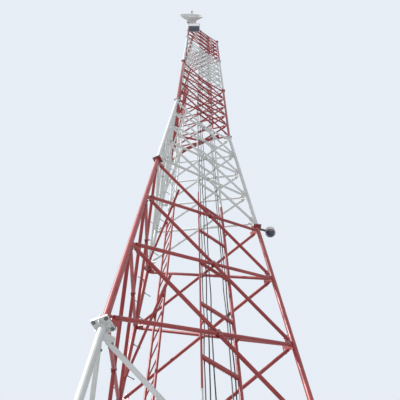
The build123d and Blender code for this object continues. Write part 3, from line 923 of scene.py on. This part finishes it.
def build_hub():
    bm = bmesh.new()
    hub = HUB_D / 2
    profile = [(HUB_CORE, -HUB_BACK), (hub - HUB_EDGE, -HUB_BACK), (hub, HUB_EDGE - HUB_BACK),
               (hub, CURVE * hub ** 2), (HUB_STEP, CURVE * HUB_STEP ** 2), (HUB_CORE, 0.0)]
    add_turned(bm, profile, DISH_AT, DISH_AXIS, fill=True)
    for i in range(HUB_BOLTS):
        turn = math.tau * (i + 0.5) / HUB_BOLTS
        d = DISH_SIDE * math.cos(turn) + UP * math.sin(turn)
        at = DISH_AT - DISH_AXIS * (HUB_BACK - BITE / 2) + d * (hub - HUB_BOLT_IN)
        add_bolt(bm, at, -DISH_AXIS, HUB_HEX, HUB_HEX_T)
    finish_piece("dish_back_hub", bm, "dish", ("dish_hub",))


def build_feed():
    """A boom, and a horn that flares out to a rounded tip."""
    bm = bmesh.new()
    horn = FEED_TIP - HORN_L
    lip = FEED_TIP - HORN_LIP
    add_rod(bm, dish_point(BOOM_FROM), dish_point(horn + BOOM_SINK), BOOM_D, 20)
    add_rod(bm, dish_point(horn), dish_point(horn + HORN_FLARE), BOOM_D + BOOM_SWELL, 24, HORN_D)
    add_rod(bm, dish_point(horn + HORN_FLARE), dish_point(lip), HORN_D, 32)
    add_rod(bm, dish_point(lip), dish_point(FEED_TIP), HORN_D, 32, HORN_D - HORN_ROUND)
    finish_piece("dish_feed_boom", bm, "dish", ("dish_feed",))


def build_post():
    bm = bmesh.new()
    add_rod(bm, at_height(POST_AT, POST_FOOT), at_height(POST_AT, POST_HEAD - POST_CAP_T), POST_D, 32)
    add_rod(bm, at_height(POST_AT, POST_HEAD - POST_CAP), at_height(POST_AT, POST_HEAD), POST_CAP_D, 32)
    finish_piece("dish_post_tube", bm, "dish", ("dish_post",))


def build_post_arms():
    bm = bmesh.new()
    way = at_height(POST_AT - LEG_P_TOP, 0).normalized()
    for z in ARMS_AT:
        a = at_height(LEG_P_TOP, z) + way * (LEG_D[-1] / 2 - BITE / 2)
        b = at_height(POST_AT, z) - way * (POST_D / 2 - BITE / 2)
        add_plank(bm, a, b, ARM_WIDE, ARM_WIDE, UP, BOLD)
        for at in (a + way * ARM_BOLT_IN, b - way * ARM_BOLT_IN):
            for up in (-UP, UP):
                add_hex(bm, at + up * (ARM_WIDE / 2 - BITE / 2), up, ARM_HEX, ARM_HEX_T)
    finish_piece("dish_post_arm_pair", bm, "bolt", ("dish_post_arms",))


def build_dish_clamps():
    """Two clamps round the post, each a jaw, two cheeks and two bolts."""
    bm = bmesh.new()
    beside = (POST_AT - DISH_AT).dot(DISH_SIDE)
    for lift in CLAMPS_AT:
        add_dish_block(bm, JAW_BACK, beside, lift, JAW)
        for s in (-1, 1):
            cheek = beside + s * CHEEK_SIDE
            add_dish_block(bm, CHEEK_BACK, cheek, lift, CHEEK)
            add_rod(bm, dish_point(U_BOLT_FROM, cheek, lift), dish_point(U_BOLT_TO, cheek, lift),
                    U_BOLT_D, 10)
    finish_piece("dish_clamp_pair", bm, "bolt", ("dish_clamps",))


def build_yoke():
    """A bar of square tube behind the hub, on two feet."""
    bm = bmesh.new()
    bar_mid = (YOKE_W - YOKE_BAR) / 2
    add_dish_block(bm, YOKE_T / 2 - YOKE_BACK, 0.0, 0.0, (YOKE_W, YOKE_BAR, YOKE_T))
    for s in (-1, 1):
        add_dish_block(bm, -(HUB_BACK + YOKE_BACK) / 2, s * bar_mid, 0.0,
                       (YOKE_BAR, YOKE_BAR, YOKE_BACK - HUB_BACK))
        add_dish_block(bm, -HUB_BACK - YOKE_FOOT_T / 2, s * (bar_mid - YOKE_FOOT_IN), 0.0,
                       (YOKE_FOOT, YOKE_BAR, YOKE_FOOT_T), FINE)
    finish_piece("dish_yoke_frame", bm, "dish", ("dish_yoke",))


def build_dish():
    build_bowl()
    build_hub()
    build_feed()
    build_post()
    build_post_arms()
    build_dish_clamps()
    build_yoke()


# Lamp unit at the right leg
LAMP = Vector((1.583, CY + 0.980, 2 * BAND - 0.100))
LAMP_R, LENS_R = 0.112, 0.100
LAMP_STEPS, LENS_STEP = 48, 6
ARM_LIFT, LAMP_ARM = 0.050, 0.038
# The crown as (radius, height), the wall as (inset from the outer radius, height), and the
# seal as (distance outside the lens, height)
LAMP_CROWN = ((0.001, 0.165), (0.030, 0.163), (0.052, 0.156), (0.070, 0.145), (0.098, 0.126))
LAMP_WALL = ((0.004, 0.116), (0.0, 0.104), (0.0, 0.040), (0.004, 0.034), (0.004, 0.026),
             (0.0, 0.020), (0.0, 0.006), (0.003, 0.0), (0.010, 0.0), (0.010, 0.004))
SEAL_RING = ((0.009, -0.0005), (0.009, -0.008), (0.004, -0.012), (-0.002, -0.008), (-0.002, -0.0005))


def build_lamp():
    bm = bmesh.new()
    leg = leg_at("q", LAMP.z)
    z = LAMP.z + ARM_LIFT
    d = at_height(LAMP - leg, 0).normalized()
    a = at_height(leg, z) + d * (LEG_D[1] / 2 - BITE / 2)
    b = at_height(LAMP, z) - d * (LAMP_R - BITE)
    add_plank(bm, a, b, LAMP_ARM, LAMP_ARM, UP, BOLD)
    finish_piece("lamp_arm_bar", bm, "dark", ("lamp_arm",))

    bm = bmesh.new()
    shell = [*LAMP_CROWN, *((LAMP_R - inset, h) for inset, h in LAMP_WALL), (0.001, 0.004)]
    add_turned(bm, shell, LAMP, UP, LAMP_STEPS)
    finish_piece("lamp_shell", bm, "dish", ("lamp_housing",))

    bm = bmesh.new()
    turns = [math.radians(t) for t in range(0, 90, LENS_STEP)]
    arc = [(LENS_R * math.cos(t), -LENS_R * math.sin(t)) for t in turns]
    add_turned(bm, [(0.001, 0.0), *arc, (0.001, -LENS_R)], LAMP, UP, LAMP_STEPS)
    finish_piece("lamp_dome", bm, "lens", ("lamp_lens",), 60)

    bm = bmesh.new()
    add_turned(bm, [(LENS_R + out, h) for out, h in SEAL_RING], LAMP, UP, LAMP_STEPS)
    finish_piece("lamp_seal", bm, "seal")


# Caps on the two legs that carry nothing
CAP_D, CAP_H, CAP_SHOULDER, CAP_TOP_D = 0.110, 0.050, 0.042, 0.088


def build_caps():
    bm = bmesh.new()
    for leg in ("q", "r"):
        c = leg_at(leg, TOP)
        add_rod(bm, c, c + UP * CAP_SHOULDER, CAP_D, 32)
        add_rod(bm, c + UP * CAP_SHOULDER, c + UP * CAP_H, CAP_D, 32, CAP_TOP_D)
    finish_piece("leg_cap_pair", bm, "dish", ("leg_caps",))


# Floor, light and camera
FLOOR_HALF, FLOOR_COLOUR, FLOOR_ROUGH = 220.0, (0.50, 0.51, 0.52, 1.0), 0.9
SKY_LIGHT, SKY_LIGHT_STRENGTH = (0.77, 0.86, 0.98, 1.0), 0.35
SKY_SEEN = (0.80, 0.85, 0.92, 1.0)
# Each sun's name, the way its light goes, its strength and its spread in degrees
SUNS = (("key_sun", Vector((0.447, 0.532, -0.719)), 4.1, 2.0),
        ("fill_sun", Vector((-0.5, 0.7, -0.3)), 0.35, 30.0))


def build_floor():
    bm = bmesh.new()
    bmesh.ops.create_grid(bm, x_segments=1, y_segments=1, size=FLOOR_HALF)
    mesh = bpy.data.meshes.new("studio_floor")
    bm.to_mesh(mesh)
    bm.free()
    floor = bpy.data.objects.new("studio_floor", mesh)
    mat, _, shader, _ = new_material("studio_floor_paint")
    shader.inputs["Base Color"].default_value = FLOOR_COLOUR
    shader.inputs["Roughness"].default_value = FLOOR_ROUGH
    mesh.materials.append(mat)
    bpy.context.scene.collection.objects.link(floor)


def build_sky():
    """A soft sky that lights the mast, and a paler one that the camera and gloss see."""
    world = bpy.data.worlds.new("studio_sky")
    bpy.context.scene.world = world
    world.use_nodes = True
    tree = world.node_tree
    light = next(n for n in tree.nodes if n.type == "BACKGROUND")
    light.inputs["Color"].default_value = SKY_LIGHT
    light.inputs["Strength"].default_value = SKY_LIGHT_STRENGTH
    seen = tree.nodes.new("ShaderNodeBackground")
    seen.inputs["Color"].default_value = SKY_SEEN
    seen.inputs["Strength"].default_value = 1.0
    rays = tree.nodes.new("ShaderNodeLightPath")
    either = tree.nodes.new("ShaderNodeMath")
    either.operation = "MAXIMUM"
    tree.links.new(rays.outputs["Is Camera Ray"], either.inputs[0])
    tree.links.new(rays.outputs["Is Glossy Ray"], either.inputs[1])
    mixer = tree.nodes.new("ShaderNodeMixShader")
    for socket, source in zip(mixer.inputs, (either, light, seen)):
        tree.links.new(source.outputs[0], socket)
    out = next(n for n in tree.nodes if n.type == "OUTPUT_WORLD")
    tree.links.new(mixer.outputs[0], out.inputs["Surface"])


def build_suns():
    for name, aim, power, spread in SUNS:
        lamp = bpy.data.lights.new(name, "SUN")
        lamp.energy = power
        lamp.angle = math.radians(spread)
        holder = bpy.data.objects.new(name, lamp)
        holder.rotation_euler = aim.to_track_quat("-Z", "Y").to_euler()
        bpy.context.scene.collection.objects.link(holder)


def build_camera(shot):
    cam = bpy.data.cameras.new("photo_view")
    cam.sensor_width = 36.0
    cam.lens = shot.focal_px / 400.0 * cam.sensor_width
    cam.clip_end = 500.0
    eye = bpy.data.objects.new("photo_view", cam)
    az, el, roll = shot.azimuth, shot.elevation, shot.roll
    look = Vector((math.cos(el) * math.cos(az), math.cos(el) * math.sin(az), math.sin(el)))
    right = Vector((math.sin(az), -math.cos(az), 0))
    over = right.cross(look)
    x = right * math.cos(roll) + over * math.sin(roll)
    y = -right * math.sin(roll) + over * math.cos(roll)
    turn = Matrix((x, y, -look)).transposed().to_4x4()
    eye.matrix_world = Matrix.Translation(Vector(shot.stand)) @ turn
    bpy.context.scene.collection.objects.link(eye)
    bpy.context.scene.camera = eye


def build_stage(shot):
    build_floor()
    build_sky()
    build_suns()
    build_camera(shot)
    bpy.context.scene.view_settings.view_transform = "Standard"


# What a user would change
class MastColours(bpy.types.PropertyGroup):
    red: FloatVectorProperty(
        name="Red", description="Colour of the red bands", subtype="COLOR", size=3,
        default=(0.35, 0.038, 0.038))
    white: FloatVectorProperty(
        name="White", description="Colour of the white bands", subtype="COLOR", size=3,
        default=(0.76, 0.76, 0.74))
    dish: FloatVectorProperty(
        name="Dish", description="Colour of the dish and lamp shell", subtype="COLOR", size=3,
        default=(0.72, 0.72, 0.70))
    rust: FloatVectorProperty(
        name="Rust", description="Colour of the chips in the paint", subtype="COLOR", size=3,
        default=(0.10, 0.045, 0.025))


class MastView(bpy.types.PropertyGroup):
    focal_px: FloatProperty(
        name="Focal length", description="Focal length for a 400 pixel wide frame",
        default=559.7, min=50.0)
    azimuth: FloatProperty(
        name="Azimuth", description="Direction the camera looks, from +X", subtype="ANGLE",
        default=math.radians(114.107))
    elevation: FloatProperty(
        name="Elevation", description="How far up the camera looks", subtype="ANGLE",
        default=math.radians(64.765))
    roll: FloatProperty(
        name="Roll", description="Turn of the camera about its view", subtype="ANGLE",
        default=math.radians(0.789))
    stand: FloatVectorProperty(
        name="Stand", description="Where the camera stands", subtype="TRANSLATION",
        unit="LENGTH", size=3, default=(2.574, -2.784, 0.955))


def operator(idname, label, doc, action):
    """One operator for one piece or group of like pieces."""
    def execute(self, context):
        action(context)
        return {"FINISHED"}
    return type("MAST_OT_" + idname, (bpy.types.Operator,), {
        "bl_idname": "mast." + idname, "bl_label": label, "__doc__": doc, "execute": execute})


def once(maker):
    def action(context):
        maker()
    return action


def both(maker):
    def action(context):
        for colour in COLOURS:
            maker(colour)
    return action


def with_colours(context):
    mix_paints(context.scene.mast_colours)


def with_view(context):
    build_stage(context.scene.mast_view)


OPERATORS = (
    operator("paints", "Mix the paints", "Makes the finishes", with_colours),
    operator("legs", "Legs", "Builds the three legs and their flanges", both(build_legs)),
    operator("flange_bolts", "Flange bolts", "Builds the bolts of the flanged joints",
             once(build_flange_bolts)),
    operator("bracing", "Bracing", "Builds the crossed bars of the three sides", once(build_all_bracing)),
    operator("frame", "Level frame", "Builds the level bars where the taper ends", once(build_frame)),
    operator("feeder_ladder", "Feeder ladder", "Builds the rails and toothed crossbars",
             both(build_feeder_ladder)),
    operator("cables", "Cables", "Builds the cables and their clamps", once(build_cable_run)),
    operator("climbing_ladder", "Climbing ladder", "Builds the rails and rungs",
             both(build_climbing_ladder)),
    operator("stays", "Ladder stays", "Builds the bars that hold the ladder", both(build_stays)),
    operator("step_bolts", "Step bolts", "Builds the pegs on the left leg", once(build_step_bolts)),
    operator("base", "Base plates", "Builds the plates and their nuts", once(build_base)),
    operator("cabinet", "Cabinet", "Builds the cabinet and its brackets", once(build_cabinet)),
    operator("dish", "Dish", "Builds the dish aerial and its post", once(build_dish)),
    operator("lamp", "Lamp", "Builds the lamp unit and its arm", once(build_lamp)),
    operator("caps", "Leg caps", "Builds the caps on the leg tops", once(build_caps)),
    operator("stage", "Stage", "Builds the floor, the light and the camera", with_view),
)


class MAST_PT_panel(bpy.types.Panel):
    """Lists the builders of the mast"""
    bl_label = "Radio mast"
    bl_idname = "MAST_PT_panel"
    bl_space_type = "VIEW_3D"
    bl_region_type = "UI"
    bl_category = "Mast"

    def draw(self, context):
        for group in (context.scene.mast_colours, context.scene.mast_view):
            for key in group.__annotations__:
                self.layout.prop(group, key)
        for op in OPERATORS:
            self.layout.operator(op.bl_idname)


CLASSES = (MastColours, MastView, *OPERATORS, MAST_PT_panel)


def register():
    for cls in CLASSES:
        bpy.utils.register_class(cls)
    bpy.types.Scene.mast_colours = PointerProperty(type=MastColours)
    bpy.types.Scene.mast_view = PointerProperty(type=MastView)


def unregister():
    del bpy.types.Scene.mast_view
    del bpy.types.Scene.mast_colours
    for cls in reversed(CLASSES):
        bpy.utils.unregister_class(cls)


def main():
    register()
    for op in OPERATORS:
        getattr(bpy.ops.mast, op.bl_idname.split(".")[1])()
    bpy.context.view_layer.update()


if __name__ == "__main__":
    main()
